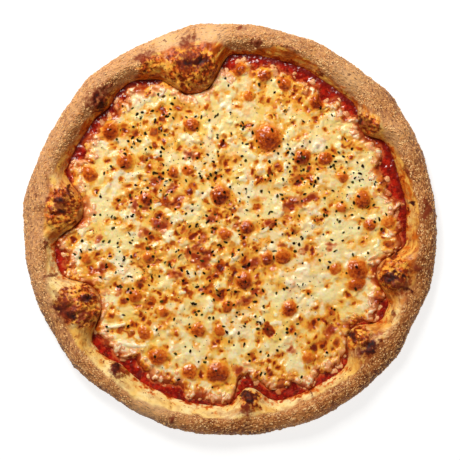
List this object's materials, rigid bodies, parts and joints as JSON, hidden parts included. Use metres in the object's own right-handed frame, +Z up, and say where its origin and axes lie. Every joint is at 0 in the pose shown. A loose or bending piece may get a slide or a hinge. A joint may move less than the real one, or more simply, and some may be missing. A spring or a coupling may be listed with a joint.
{
  "type": "margherita pizza",
  "caption": "Whole round baked pizza with a raised bubbly rim, a ring of tomato sauce, melted blistered cheese and dried herb flakes.",
  "frame": {"origin": "middle of the underside, where the pizza lies on a surface", "axes": "+Z up out of the cheese, +X to the right and +Y to the top of the view from above"},
  "size_m": [0.3006, 0.2988, 0.0229],
  "materials": {
    "crust": "matt baked dough, tan with golden and charred patches",
    "sauce": "wet, glossy tomato sauce",
    "cheese": "oily melted cheese, cream with browned blisters and dark herb flakes"
  },
  "bodies": {
    "root": {"crust": "crust", "sauce": "sauce", "cheese": "cheese"}
  },
  "joints": []
}
